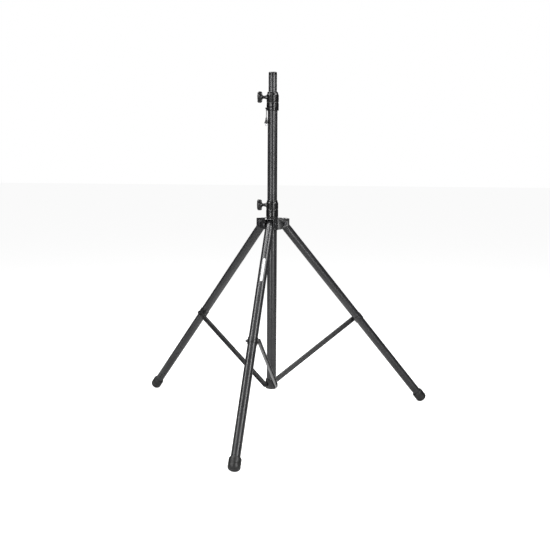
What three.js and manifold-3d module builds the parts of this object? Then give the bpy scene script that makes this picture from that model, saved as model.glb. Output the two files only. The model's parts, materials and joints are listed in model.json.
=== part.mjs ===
// A tripod stand for a loudspeaker: a telescoping mast, a clamped carriage that carries three folding
// legs, and three braces that tie the legs to a hub at the foot of the mast.
// Millimetres, +Z up. Heights are measured from the floor; the last lines move the origin to the
// centre of the hub's underside, on the mast's axis. The front leg points along -Y.
import * as THREE from 'three';
import { mergeVertices } from 'three/addons/utils/BufferGeometryUtils.js';
import Module from 'manifold-3d';

const wasm = await Module();
wasm.setup();

// ---------------------------------------------------------------- driving dimensions

const GAP = 0.3; // clearance between pieces that touch
const RAD = Math.PI / 180;

// mast
const MAIN_R = 20.5; // main tube, outside
const MAIN_WALL = 1.5;
const MAIN_TOP = 1372;
const POLE_R = 17.5; // the 35 mm pole that the loudspeaker's socket slides over
const POLE_WALL = 1.5;
const POLE_TOP = 1461.5;
const CAP_HEIGHT = 12;
const PIN_R = 3.1;
const PIN_HOLE_R = 3.5;
const PIN_HEIGHT = 1253;
const PIN_HOLE_PITCH = 200;
const PIN_HOLE_COUNT = 4;

// hub at the foot of the mast
const HUB_BASE = 120;
const HUB_TOP = 164;
const HUB_R = 25;
const HUB_SPIGOT_TOP = 206;
const HUB_PIVOT_R = 14.9;
const HUB_PIVOT_Z = 137.3;

// legs
const LEG_COUNT = 3;
const LEG_R = 18;
const LEG_WALL = 1.3;
const LEG_ANGLE = 40.06 * RAD; // from vertical
const LEG_PIVOT_R = 50.5;
const LEG_PIVOT_Z = 832.3;
const LEG_TUBE_END = 1052; // along the leg, from its pivot
const LEG_HEAD_R = 17.8; // the rounded head that turns in the bracket
const LEG_PLUG_LENGTH = 42;
const BRACE_JOINT = 555; // along the leg, from its pivot
const FOOT_TOP = 1028;
const FOOT_END = 1077;
const FOOT_R = 23.8;
const FOOT_ROUND = 14; // radius of the edge of its sole

// braces
const BRACE_INNER = 21; // tangential offset of the side that lies against the leg
const BRACE_OUTER = 29;
const BRACE_HALF_WIDTH = 10.5;
const BRACE_SHEET = 1.8;

// carriage and collars
const COLLAR_R = 25.5;
const BORE_R = MAIN_R + GAP;
const BRACKET_TOP = 858.5;
const BRACKET_BASE = 808;
const BRACKET_SLOPE = 4 * RAD;
const ARM_REACH = 71;
const ARM_HALF_WIDTH = 20.8;
const ARM_SHEET = 2.4;
const LOWER_COLLAR = { base: 861.3, top: 932, knob: 912, screw: 883, slit: 892 };
const UPPER_COLLAR = { base: 1304, top: 1380, knob: 1358.5, screw: 1318, slit: 1336 };
const SPIGOT_R = 22.8;

// clamping knobs
const KNOB_AZIMUTH = -75; // degrees from the front leg, positive towards the right leg
const SLIT_AZIMUTH = -8;
const KNOB_INNER = 43.5; // inner and outer faces, from the mast's axis
const KNOB_OUTER = 63.5;
const KNOB_R = 25;
const KNOB_LOBES = 6;
const BOSS_R = 9;
const BOSS_FACE = 31;
const STUD_R = 4;

// locking pin, hanging on its lanyard
const LANYARD_AZIMUTH = -40;
const LANYARD_R = 34;
const CORD_R = 1.6;
const ANCHOR_POST_R = 2.4;
const ANCHOR_Z = 1312;
const GRIP_TOP = 1276;
const GRIP_BASE = 1250;
const TIP_BASE = 1240;

// ---------------------------------------------------------------- materials

const finish = (color, roughness, metalness) => (
  new THREE.MeshStandardMaterial({ color, roughness, metalness })
);
const PAINT = () => finish(0x1b1b1c, 0.38, 0.2);
const PLASTIC = () => finish(0x151516, 0.5, 0);
const RUBBER = () => finish(0x101010, 0.8, 0);
const BLACK_ZINC = () => finish(0x26262a, 0.35, 0.8);
const NYLON = () => finish(0x2c2c2c, 0.6, 0);
const CHROME = () => finish(0xb8babd, 0.2, 1);
const VINYL = () => finish(0x121212, 0.45, 0);

// ---------------------------------------------------------------- solids

const AROUND = 28; // facets around the mast's pieces
const LEG_FACETS = 24;
const FEW = 12; // facets around a boss or a bolt's head
const HOLE_FACETS = 10; // facets around a bolt and its hole

// A closed three.js geometry as a solid with its faces pointing out.
function solid(geometry) {
  geometry.deleteAttribute('normal');
  geometry.deleteAttribute('uv');
  const merged = mergeVertices(geometry, 1e-4);
  const place = merged.attributes.position.array;
  const at = (i) => new THREE.Vector3().fromArray(place, 3 * i);
  const faces = [];
  let volume = 0;
  for (let i = 0; i < merged.index.count; i += 3) {
    const [a, b, c] = [0, 1, 2].map((k) => merged.index.getX(i + k));
    if (a === b || b === c || c === a) continue;
    faces.push([a, b, c]);
    volume += at(a).dot(at(b).cross(at(c)));
  }
  const triVerts = new Uint32Array((volume < 0 ? faces.map(([a, b, c]) => [a, c, b]) : faces).flat());
  return new wasm.Manifold(new wasm.Mesh({ numProp: 3, vertProperties: new Float32Array(place), triVerts }));
}

function geometryOf(body) {
  const mesh = body.getMesh();
  const geometry = new THREE.BufferGeometry();
  geometry.setAttribute('position', new THREE.BufferAttribute(Float32Array.from(mesh.vertProperties), 3));
  geometry.setIndex(new THREE.BufferAttribute(Uint32Array.from(mesh.triVerts), 1));
  geometry.computeVertexNormals();
  return geometry;
}

const union = (bodies) => bodies.reduce((whole, next) => whole.add(next));

// A cylinder from one point to another. A second radius makes it a cone.
function rod(radius, from, to, facets = FEW, endRadius = radius) {
  const start = new THREE.Vector3(...from);
  const run = new THREE.Vector3(...to).sub(start);
  const geometry = new THREE.CylinderGeometry(endRadius, radius, run.length(), facets);
  geometry.translate(0, run.length() / 2, 0);
  const turn = new THREE.Quaternion().setFromUnitVectors(new THREE.Vector3(0, 1, 0), run.normalize());
  geometry.applyQuaternion(turn);
  geometry.translate(start.x, start.y, start.z);
  return solid(geometry);
}

const upright = (radius, base, top, facets = AROUND) => rod(radius, [0, 0, base], [0, 0, top], facets);
const ring = (outer, inner, base, top, facets = AROUND) =>
  upright(outer, base, top, facets).subtract(upright(inner, base - 1, top + 1, facets));

// A profile of [radius, height] points, turned about Z. It starts and ends on the axis.
function turned(profile, facets = AROUND) {
  const geometry = new THREE.LatheGeometry(profile.map(([r, z]) => new THREE.Vector2(r, z)), facets);
  geometry.rotateX(Math.PI / 2);
  return solid(geometry);
}

// A plate whose outline is [outward, height] points, standing between two tangential offsets.
function sidePlate(outline, from, to) {
  const shape = new THREE.Shape(outline.map(([out, z]) => new THREE.Vector2(out, z)));
  const geometry = new THREE.ExtrudeGeometry(shape, { depth: to - from, bevelEnabled: false });
  const basis = new THREE.Matrix4().makeBasis(
    new THREE.Vector3(0, -1, 0), new THREE.Vector3(0, 0, 1), new THREE.Vector3(-1, 0, 0));
  geometry.applyMatrix4(basis);
  geometry.translate(to, 0, 0);
  return solid(geometry);
}

// A cylinder pointing out from the mast's axis at an azimuth and height.
function radial(radius, azimuth, height, from, to, facets = FEW, endRadius = radius) {
  const point = (r) => [r * Math.sin(azimuth * RAD), -r * Math.cos(azimuth * RAD), height];
  return rod(radius, point(from), point(to), facets, endRadius);
}

function piece(name, body, material) {
  const mesh = new THREE.Mesh(geometryOf(body), material);
  mesh.name = name;
  return mesh;
}

// A bolt along X at the origin, with a low round head at its positive end.
function crossBolt(radius, from, headFrom, headRadius, headHeight) {
  const shank = rod(radius, [from, 0, 0], [headFrom + headHeight / 2, 0, 0], HOLE_FACETS);
  const rim = headFrom + headHeight / 2;
  const flange = rod(headRadius, [headFrom, 0, 0], [rim, 0, 0], FEW);
  const crown = rod(headRadius, [rim, 0, 0], [headFrom + headHeight, 0, 0], FEW, headRadius * 0.7);
  return union([shank, flange, crown]);
}

function hexNut(radius, bore, from, to) {
  const hole = rod(bore, [from - 1, 0, 0], [to + 1, 0, 0], HOLE_FACETS);
  return rod(radius, [from, 0, 0], [to, 0, 0], 6).subtract(hole);
}

// ---------------------------------------------------------------- mast

function mainTube() {
  const tube = ring(MAIN_R, MAIN_R - MAIN_WALL, HUB_TOP + GAP, MAIN_TOP);
  const studHole = radial(STUD_R + GAP, KNOB_AZIMUTH, UPPER_COLLAR.knob, 10, 25, HOLE_FACETS);
  const pinHole = radial(PIN_HOLE_R, LANYARD_AZIMUTH, PIN_HEIGHT, -25, 25, 8);
  return tube.subtract(studHole).subtract(pinHole);
}

function topBushing() {
  const inside = MAIN_R - MAIN_WALL - GAP;
  const sleeve = upright(inside, MAIN_TOP - 40, MAIN_TOP + 1);
  const flange = upright(MAIN_R, MAIN_TOP + GAP, MAIN_TOP + 2.8);
  const bore = upright(POLE_R + GAP, MAIN_TOP - 50, MAIN_TOP + 10);
  const padHole = radial(STUD_R + GAP, KNOB_AZIMUTH, UPPER_COLLAR.knob, 10, 25, HOLE_FACETS);
  return sleeve.add(flange).subtract(bore).subtract(padHole);
}

// A clamping collar: a turned body with a tapered shoulder, a screw boss and a slit.
function collar({ base, top, knob, screw, slit }) {
  const body = turned([
    [0, base], [COLLAR_R - 1, base], [COLLAR_R, base + 1.5], [COLLAR_R, top - 14],
    [COLLAR_R - 1, top - 6], [COLLAR_R - 4, top], [0, top],
  ]);
  const boss = radial(BOSS_R + 2, KNOB_AZIMUTH, knob, 18, BOSS_FACE, 16, BOSS_R - 1.5);
  const studBore = radial(STUD_R + GAP, KNOB_AZIMUTH, knob, 10, BOSS_FACE + 5, HOLE_FACETS);
  const screwHole = radial(2.8, SLIT_AZIMUTH, screw, 10, 40, HOLE_FACETS);
  const cut = new THREE.BoxGeometry(2.6, 30, top - slit + 2);
  cut.translate(0, -25, (top + slit + 2) / 2);
  cut.rotateZ(SLIT_AZIMUTH * RAD);
  return body.add(boss).subtract(studBore).subtract(screwHole).subtract(solid(cut));
}

function upperCollar() {
  const lip = MAIN_TOP + 3.1;
  return collar(UPPER_COLLAR)
    .subtract(upright(BORE_R, UPPER_COLLAR.base - 1, lip))
    .subtract(upright(POLE_R + 0.5, lip - 1, UPPER_COLLAR.top + 1));
}

const collarScrew = (height) =>
  union([
    radial(2.5, SLIT_AZIMUTH, height, BORE_R + GAP, COLLAR_R + 1, HOLE_FACETS),
    radial(4, SLIT_AZIMUTH, height, COLLAR_R + GAP, COLLAR_R + 1.9, FEW, 3),
  ]);

function hub() {
  const body = turned([
    [0, HUB_BASE], [HUB_R - 2, HUB_BASE], [HUB_R, HUB_BASE + 2], [HUB_R, HUB_TOP - 3],
    [HUB_R - 3, HUB_TOP], [0, HUB_TOP],
  ]);
  const flats = [];
  for (let i = 0; i < LEG_COUNT; i += 1) {
    const away = new THREE.BoxGeometry(20, 80, 80);
    away.translate(BRACE_INNER - GAP + 10, 0, HUB_TOP - 20);
    away.rotateZ((i * 2 * Math.PI) / LEG_COUNT);
    flats.push(solid(away));
    const bolt = new THREE.CylinderGeometry(3.3, 3.3, 30, HOLE_FACETS);
    bolt.rotateZ(Math.PI / 2);
    bolt.translate(6 + 15, -HUB_PIVOT_R, HUB_PIVOT_Z);
    bolt.rotateZ((i * 2 * Math.PI) / LEG_COUNT);
    flats.push(solid(bolt));
  }
  const spigot = upright(MAIN_R - MAIN_WALL - GAP, HUB_TOP - 5, HUB_SPIGOT_TOP);
  return flats.reduce((left, tool) => left.subtract(tool), body).add(spigot);
}

function lanyardAnchor() {
  const headFace = LANYARD_R + CORD_R + 2 * GAP;
  const post = radial(ANCHOR_POST_R, LANYARD_AZIMUTH, ANCHOR_Z, COLLAR_R + GAP, headFace + 0.5, HOLE_FACETS);
  const foot = radial(4.5, LANYARD_AZIMUTH, ANCHOR_Z, COLLAR_R + GAP, COLLAR_R + 2, FEW);
  const head = radial(3.6, LANYARD_AZIMUTH, ANCHOR_Z, headFace, headFace + 1.4, FEW);
  return union([post, foot, head]);
}

// ---------------------------------------------------------------- pole

function poleTube() {
  const base = HUB_SPIGOT_TOP + 4;
  let tube = ring(POLE_R, POLE_R - POLE_WALL, base, POLE_TOP - CAP_HEIGHT - GAP);
  for (let i = 1; i <= PIN_HOLE_COUNT; i += 1) {
    tube = tube.subtract(radial(PIN_HOLE_R, LANYARD_AZIMUTH, PIN_HEIGHT - i * PIN_HOLE_PITCH, -25, 25, 8));
  }
  return tube;
}

function poleCap() {
  const plug = POLE_R - POLE_WALL - GAP;
  return turned([
    [0, POLE_TOP - 40], [plug - 1, POLE_TOP - 40], [plug, POLE_TOP - 39], [plug, POLE_TOP - CAP_HEIGHT],
    [POLE_R, POLE_TOP - CAP_HEIGHT], [POLE_R, POLE_TOP - 2], [POLE_R - 2, POLE_TOP], [0, POLE_TOP],
  ]);
}

function poleGuide() {
  const base = HUB_SPIGOT_TOP + 0.6;
  const plug = POLE_R - POLE_WALL - GAP;
  return turned([
    [0, base], [MAIN_R - MAIN_WALL - GAP, base], [MAIN_R - MAIN_WALL - GAP, base + 3],
    [plug, base + 3], [plug, base + 30], [0, base + 30],
  ]);
}

// ---------------------------------------------------------------- carriage

function lowerCollar() {
  const spigot = upright(SPIGOT_R, LOWER_COLLAR.base - 17, LOWER_COLLAR.base + 2);
  return collar(LOWER_COLLAR).add(spigot)
    .subtract(upright(BORE_R, LOWER_COLLAR.base - 20, LOWER_COLLAR.top + 1));
}

const armTop = (out) => BRACKET_TOP - Math.max(0, out - COLLAR_R) * Math.tan(BRACKET_SLOPE);

// One arm: two cheeks under a sloping top plate, open below and at its outer end.
function bracketArm() {
  const block = sidePlate([
    [18, BRACKET_BASE], [32, BRACKET_BASE],
    [ARM_REACH - 4, BRACKET_BASE + 10], [ARM_REACH, BRACKET_BASE + 14],
    [ARM_REACH, armTop(ARM_REACH) - 3], [ARM_REACH - 3, armTop(ARM_REACH - 3)],
    [COLLAR_R, BRACKET_TOP], [18, BRACKET_TOP],
  ], -ARM_HALF_WIDTH, ARM_HALF_WIDTH);
  const inside = ARM_HALF_WIDTH - ARM_SHEET;
  const pocket = sidePlate([
    [24, BRACKET_BASE - 5], [ARM_REACH + 5, BRACKET_BASE - 5],
    [ARM_REACH + 5, armTop(ARM_REACH + 5) - ARM_SHEET],
    [COLLAR_R, BRACKET_TOP - ARM_SHEET], [24, BRACKET_TOP - ARM_SHEET],
  ], -inside, inside);
  const boltHole = rod(
    STUD_R + GAP, [-40, -LEG_PIVOT_R, LEG_PIVOT_Z], [40, -LEG_PIVOT_R, LEG_PIVOT_Z], HOLE_FACETS,
  );
  return block.subtract(pocket).subtract(boltHole);
}

function legBracket() {
  const arms = [];
  for (let i = 0; i < LEG_COUNT; i += 1) {
    const geometry = geometryOf(bracketArm());
    geometry.rotateZ((i * 2 * Math.PI) / LEG_COUNT);
    arms.push(solid(geometry));
  }
  const sleeve = upright(COLLAR_R, BRACKET_BASE - 2, BRACKET_TOP + 1.5);
  return union([...arms, sleeve]).subtract(upright(SPIGOT_R + GAP, BRACKET_BASE - 5, BRACKET_TOP + 5));
}

const carriageBushing = () => ring(SPIGOT_R, BORE_R, BRACKET_BASE - 1, LOWER_COLLAR.base - 18);

// ---------------------------------------------------------------- clamping knobs

// A moulded star knob on its neck, along +Z from the mast's axis.
function knobHead() {
  const shape = new THREE.Shape();
  const points = 8 * KNOB_LOBES;
  for (let i = 0; i < points; i += 1) {
    const angle = (i * 2 * Math.PI) / points;
    const reach = KNOB_R - 3 - 1.5 + 3 * Math.cos(KNOB_LOBES * angle);
    shape[i ? 'lineTo' : 'moveTo'](reach * Math.cos(angle), reach * Math.sin(angle));
  }
  const head = new THREE.ExtrudeGeometry(shape, {
    depth: KNOB_OUTER - KNOB_INNER - 4, bevelThickness: 2, bevelSize: 1.5, bevelSegments: 1,
  });
  head.translate(0, 0, KNOB_INNER + 2);
  const neck = rod(7.5, [0, 0, BOSS_FACE + GAP], [0, 0, KNOB_INNER + 1], 16, 9);
  const bore = rod(STUD_R + GAP, [0, 0, 20], [0, 0, KNOB_OUTER - 6], HOLE_FACETS);
  return solid(head).add(neck).subtract(bore);
}

const knobStud = () => rod(STUD_R, [0, 0, COLLAR_R - 1], [0, 0, KNOB_OUTER - 6.5], HOLE_FACETS);
const clampPad = (face) => rod(STUD_R - 0.1, [0, 0, face + 0.4], [0, 0, COLLAR_R - 1.4], HOLE_FACETS);

// A group whose +Z points out from the mast's axis at the knobs' azimuth and a given height.
function knobFrame(height) {
  const turn = new THREE.Group();
  turn.rotation.z = KNOB_AZIMUTH * RAD;
  const out = new THREE.Group();
  out.position.z = height;
  out.rotation.x = Math.PI / 2;
  turn.add(out);
  return [turn, out];
}

// ---------------------------------------------------------------- leg, along -Z from its pivot

const axisPoint = (along) => [0, 0, -along];

function legTube() {
  const outside = rod(LEG_R, axisPoint(LEG_TUBE_END), axisPoint(-LEG_R), LEG_FACETS);
  const inside = rod(LEG_R - LEG_WALL, axisPoint(LEG_TUBE_END + 1), axisPoint(-LEG_R - 1), LEG_FACETS);
  return outside.subtract(inside).intersect(roundedHead(LEG_HEAD_R)).subtract(crossHole(0, STUD_R + GAP))
    .subtract(crossHole(BRACE_JOINT, 3.3));
}

// Everything below the pivot, and a rounded end about it.
function roundedHead(radius) {
  const below = new THREE.BoxGeometry(80, 80, 1200);
  below.translate(0, 0, -600);
  return solid(below).add(rod(radius, [-40, 0, 0], [40, 0, 0], LEG_FACETS));
}

const crossHole = (along, radius) => rod(radius, [-40, 0, -along], [40, 0, -along], HOLE_FACETS);

function legPlug() {
  const plug = rod(LEG_R - LEG_WALL - GAP, axisPoint(LEG_PLUG_LENGTH), axisPoint(-LEG_R), LEG_FACETS);
  return plug.intersect(roundedHead(LEG_HEAD_R - 0.5)).subtract(crossHole(0, STUD_R + GAP));
}

function legClamp() {
  const half = 13;
  const band = rod(LEG_R + 2.3, axisPoint(BRACE_JOINT + half), axisPoint(BRACE_JOINT - half), LEG_FACETS);
  const face = BRACE_INNER - 0.4;
  const bosses = rod(8, [-face, 0, -BRACE_JOINT], [face, 0, -BRACE_JOINT], 16);
  return band.add(bosses)
    .subtract(rod(LEG_R + GAP, axisPoint(BRACE_JOINT + 20), axisPoint(BRACE_JOINT - 20), LEG_FACETS))
    .subtract(crossHole(BRACE_JOINT, 3.3));
}

// The bolt stops just inside the clamp's outer face, so that the brace can pass it.
function clampBolt() {
  const face = BRACE_INNER - 0.4;
  return rod(3, [-face - 8, 0, -BRACE_JOINT], [face - GAP, 0, -BRACE_JOINT], HOLE_FACETS);
}

const clampNut = () => hexNut(6, 3.3, -BRACE_INNER - 4.8, -BRACE_INNER + 0.1);

// A moulded foot, cut flat where it stands on the floor.
function foot(legFrame) {
  const profile = [[0, -FOOT_END]];
  for (let step = 0; step <= 3; step += 1) {
    const angle = (step * Math.PI) / 6;
    profile.push([
      FOOT_R - FOOT_ROUND + FOOT_ROUND * Math.sin(angle),
      -FOOT_END + FOOT_ROUND - FOOT_ROUND * Math.cos(angle),
    ]);
  }
  profile.push([FOOT_R, -FOOT_TOP - 5], [FOOT_R - 1.5, -FOOT_TOP], [0, -FOOT_TOP]);
  const socket = rod(LEG_R + GAP, axisPoint(LEG_TUBE_END + GAP), axisPoint(FOOT_TOP - 5), LEG_FACETS);
  const underFloor = new THREE.BoxGeometry(400, 400, 100);
  underFloor.translate(0, -LEG_PIVOT_R - LEG_TUBE_END * Math.sin(LEG_ANGLE), -50);
  underFloor.applyMatrix4(legFrame.clone().invert());
  return turned(profile, LEG_FACETS).subtract(socket).subtract(solid(underFloor));
}

// ---------------------------------------------------------------- brace, along +Z from the hub's pivot

const braceReach = LEG_PIVOT_R + BRACE_JOINT * Math.sin(LEG_ANGLE) - HUB_PIVOT_R;
const braceRise = LEG_PIVOT_Z - BRACE_JOINT * Math.cos(LEG_ANGLE) - HUB_PIVOT_Z;
const BRACE_LENGTH = Math.hypot(braceReach, braceRise);
const BRACE_ANGLE = Math.atan2(braceReach, braceRise);

// A plate with round ends between the brace's two pivots.
function braceBlank(halfWidth, from, to) {
  const shape = new THREE.Shape();
  shape.absarc(0, 0, halfWidth, Math.PI, 2 * Math.PI);
  shape.absarc(0, BRACE_LENGTH, halfWidth, 0, Math.PI);
  const geometry = new THREE.ExtrudeGeometry(shape, {
    depth: to - from, bevelEnabled: false, curveSegments: 5,
  });
  geometry.rotateX(Math.PI / 2);
  geometry.rotateZ(Math.PI / 2);
  geometry.translate(from, 0, 0);
  return solid(geometry);
}

function brace() {
  const channel = braceBlank(BRACE_HALF_WIDTH, BRACE_INNER, BRACE_OUTER)
    .subtract(braceBlank(BRACE_HALF_WIDTH - BRACE_SHEET, BRACE_INNER + BRACE_SHEET, BRACE_OUTER + 2));
  const hole = (along) => rod(3.3, [BRACE_INNER - 5, 0, along], [BRACE_OUTER, 0, along], HOLE_FACETS);
  return channel.subtract(hole(0)).subtract(hole(BRACE_LENGTH));
}

const braceBolt = (from) => crossBolt(3, from, BRACE_INNER + BRACE_SHEET + GAP, 6, 4);

// ---------------------------------------------------------------- locking pin

function lockPinGrip() {
  return turned([
    [0, GRIP_BASE], [8, GRIP_BASE], [8.5, GRIP_BASE + 2], [6.5, GRIP_BASE + 8], [4.2, GRIP_BASE + 16],
    [2.4, GRIP_TOP], [0, GRIP_TOP],
  ], 16);
}

function lanyard() {
  const route = new THREE.CatmullRomCurve3([
    new THREE.Vector3(0, 0, ANCHOR_Z - ANCHOR_POST_R - GAP),
    new THREE.Vector3(0, -0.2, ANCHOR_Z - 8),
    new THREE.Vector3(0.5, -0.6, ANCHOR_Z - 15),
    new THREE.Vector3(0.5, -0.4, ANCHOR_Z - 22),
    new THREE.Vector3(0.1, -0.1, ANCHOR_Z - 29),
    new THREE.Vector3(0, 0, GRIP_TOP + GAP),
  ]);
  const section = new THREE.Shape();
  section.absarc(0, 0, CORD_R, 0, 2 * Math.PI);
  return solid(new THREE.ExtrudeGeometry(section, { steps: 8, curveSegments: 4, extrudePath: route }));
}

// ---------------------------------------------------------------- assembly

const stand = new THREE.Group();

stand.add(
  piece('main_tube', mainTube(), PAINT()),
  piece('top_bushing', topBushing(), NYLON()),
  piece('upper_collar', upperCollar(), PLASTIC()),
  piece('upper_collar_screw', collarScrew(UPPER_COLLAR.screw), BLACK_ZINC()),
  piece('hub', hub(), PLASTIC()),
  piece('lanyard_anchor', lanyardAnchor(), BLACK_ZINC()),
  piece('pole_tube', poleTube(), PAINT()),
  piece('pole_cap', poleCap(), PLASTIC()),
  piece('pole_guide', poleGuide(), NYLON()),
  piece('lower_collar', lowerCollar(), PLASTIC()),
  piece('lower_collar_screw', collarScrew(LOWER_COLLAR.screw), BLACK_ZINC()),
  piece('leg_bracket', legBracket(), PAINT()),
  piece('carriage_bushing', carriageBushing(), NYLON()),
);

const KNOBS = [
  ['upper', UPPER_COLLAR.knob, POLE_R],
  ['lower', LOWER_COLLAR.knob, MAIN_R],
];
for (const [which, height, clamped] of KNOBS) {
  const [turn, out] = knobFrame(height);
  out.add(
    piece(`${which}_knob`, knobHead(), PLASTIC()),
    piece(`${which}_knob_stud`, knobStud(), BLACK_ZINC()),
    piece(`${which}_clamp_pad`, clampPad(clamped), NYLON()),
  );
  stand.add(turn);
}

const hanging = new THREE.Group();
hanging.position.set(
  LANYARD_R * Math.sin(LANYARD_AZIMUTH * RAD), -LANYARD_R * Math.cos(LANYARD_AZIMUTH * RAD), 0,
);
hanging.add(
  piece('lock_pin_lanyard', lanyard(), VINYL()),
  piece('lock_pin_grip', lockPinGrip(), PLASTIC()),
  piece('lock_pin_tip', upright(PIN_R, TIP_BASE, GRIP_BASE - GAP, FEW), CHROME()),
);
stand.add(hanging);

const LEGS = [['front', 0], ['right', 120], ['left', -120]];
for (const [side, azimuth] of LEGS) {
  const sector = new THREE.Group();
  sector.rotation.z = azimuth * RAD;

  const pivot = new THREE.Group();
  pivot.position.set(0, -LEG_PIVOT_R, LEG_PIVOT_Z);
  const boltFace = ARM_HALF_WIDTH + GAP;
  pivot.add(
    piece(`${side}_pivot_bolt`, crossBolt(STUD_R, -boltFace - 8, boltFace, 7, 5), BLACK_ZINC()),
    piece(`${side}_pivot_nut`, hexNut(7.5, STUD_R + GAP, -boltFace - 6, -boltFace), BLACK_ZINC()),
  );

  const leg = new THREE.Group();
  leg.position.copy(pivot.position);
  leg.rotation.x = -LEG_ANGLE;
  leg.updateMatrix();
  leg.add(
    piece(`${side}_leg_tube`, legTube(), PAINT()),
    piece(`${side}_leg_plug`, legPlug(), PLASTIC()),
    piece(`${side}_leg_clamp`, legClamp(), PAINT()),
    piece(`${side}_clamp_bolt`, clampBolt(), BLACK_ZINC()),
    piece(`${side}_foot`, foot(leg.matrix), RUBBER()),
  );
  const nut = piece(`${side}_clamp_nut`, clampNut(), BLACK_ZINC());
  nut.position.z = -BRACE_JOINT;
  leg.add(nut);

  const hubBolt = piece(`${side}_hub_bolt`, braceBolt(6.5), BLACK_ZINC());
  hubBolt.position.set(0, -HUB_PIVOT_R, HUB_PIVOT_Z);

  const arm = new THREE.Group();
  arm.position.copy(hubBolt.position);
  arm.rotation.x = BRACE_ANGLE;
  const braceScrew = piece(`${side}_brace_bolt`, braceBolt(BRACE_INNER), BLACK_ZINC());
  braceScrew.position.z = BRACE_LENGTH;
  arm.add(piece(`${side}_brace`, brace(), PAINT()), braceScrew);

  sector.add(pivot, leg, hubBolt, arm);
  stand.add(sector);
}

stand.position.z = -HUB_BASE;

export default stand;
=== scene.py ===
import json
from math import atan2, cos, hypot, pi, radians, sin, tan

import bmesh
import bpy
from mathutils import Matrix, Vector


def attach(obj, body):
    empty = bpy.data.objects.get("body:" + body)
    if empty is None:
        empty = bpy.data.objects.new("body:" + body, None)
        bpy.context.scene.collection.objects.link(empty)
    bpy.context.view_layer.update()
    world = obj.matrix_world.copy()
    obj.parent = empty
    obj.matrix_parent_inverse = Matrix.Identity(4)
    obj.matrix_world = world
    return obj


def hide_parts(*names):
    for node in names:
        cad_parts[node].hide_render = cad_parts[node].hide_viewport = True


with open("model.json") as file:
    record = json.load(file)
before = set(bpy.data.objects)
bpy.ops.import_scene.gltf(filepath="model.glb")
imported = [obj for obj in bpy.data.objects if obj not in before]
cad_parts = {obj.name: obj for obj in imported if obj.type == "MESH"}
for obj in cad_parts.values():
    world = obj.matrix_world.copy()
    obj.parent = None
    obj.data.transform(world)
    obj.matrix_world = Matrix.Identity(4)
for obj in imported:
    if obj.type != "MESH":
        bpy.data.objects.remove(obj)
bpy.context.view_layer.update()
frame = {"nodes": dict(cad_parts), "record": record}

record = frame["record"]
BODY_OF = {node: body for body, nodes in record["behaviour"]["bodies"].items() for node in nodes}
SLOT_OF = {part["node"]: part["material_slot"] for part in record["subparts"]}

# ------------------------------------------------------------------ driving dimensions
# Shapes are drawn in millimetres, with heights from the floor, and placed in the frame by STAND.

HUB_BASE = 120
STAND = Matrix.Translation((0, 0, -HUB_BASE / 1000)) @ Matrix.Scale(0.001, 4)
FLOOR_Z = -HUB_BASE / 1000

GAP = 0.3
MAIN_R, MAIN_WALL, MAIN_TOP = 20.5, 1.5, 1372
POLE_R, POLE_WALL, POLE_TOP, CAP_HEIGHT = 17.5, 1.5, 1461.5, 12
PIN_R, PIN_HOLE_R, PIN_HEIGHT, PIN_HOLE_PITCH, PIN_HOLE_COUNT = 3.1, 3.5, 1253, 200, 4
HUB_TOP, HUB_R, HUB_SPIGOT_TOP, HUB_PIVOT_R, HUB_PIVOT_Z = 164, 25, 206, 14.9, 137.3
LEG_R, LEG_WALL, LEG_ANGLE = 18, 1.3, radians(40.06)
LEG_PIVOT_R, LEG_PIVOT_Z, LEG_TUBE_END, LEG_HEAD_R = 50.5, 832.3, 1052, 17.8
BRACE_JOINT, BRACE_INNER, BRACE_OUTER, BRACE_HALF_WIDTH, BRACE_SHEET = 555, 21, 29, 10.5, 1.8
FOOT_TOP, FOOT_END, FOOT_R, FOOT_ROUND = 1028, 1077, 23.8, 14
COLLAR_R, BORE_R, SPIGOT_R = 25.5, MAIN_R + GAP, 22.8
BRACKET_TOP, BRACKET_BASE, BRACKET_SLOPE = 858.5, 808, radians(4)
ARM_REACH, ARM_HALF_WIDTH, ARM_SHEET, ARM_BEND = 71, 20.8, 2.4, 2.2
LOWER_COLLAR = {"base": 861.3, "top": 932, "knob": 912, "screw": 883, "slit": 892}
UPPER_COLLAR = {"base": 1304, "top": 1380, "knob": 1358.5, "screw": 1318, "slit": 1336}
KNOB_AZIMUTH, SLIT_AZIMUTH, LANYARD_AZIMUTH = radians(-75), radians(-8), radians(-40)
KNOB_INNER, KNOB_OUTER, KNOB_R, KNOB_LOBES = 43.5, 63.5, 25, 6
BOSS_R, BOSS_FACE, STUD_R = 9, 31, 4
LANYARD_R, ANCHOR_Z, GRIP_TOP, GRIP_BASE, TIP_BASE = 34, 1312, 1276, 1250, 1240
CORD_R, ANCHOR_POST_R = 1.6, 2.4
BOLT_R, BOLT_HOLE_R = 3, 3.3
SCREW_R, SCREW_HOLE_R, SCREW_HEAD_R, SCREW_SEAT_R, SLIT_HALF_WIDTH = 2.5, 3, 4, 4.6, 1.3
SIDES = {"front": 0, "right": radians(120), "left": radians(-120)}

# Facets around a turned shape. The pieces around the mast are the largest on screen.
MAST_FACETS, COLLAR_FACETS, HOLE_FACETS = 128, 112, 32

# ------------------------------------------------------------------ camera

CAMERA_AT = (0.6702, -3.7056, 1.0865 + FLOOR_Z)
CAMERA_PITCH, CAMERA_YAW, CAMERA_ROLL = radians(7.158), radians(-10.049), radians(0.295)
CAMERA_LENS, SENSOR_WIDTH = 58.26, 36


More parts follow.
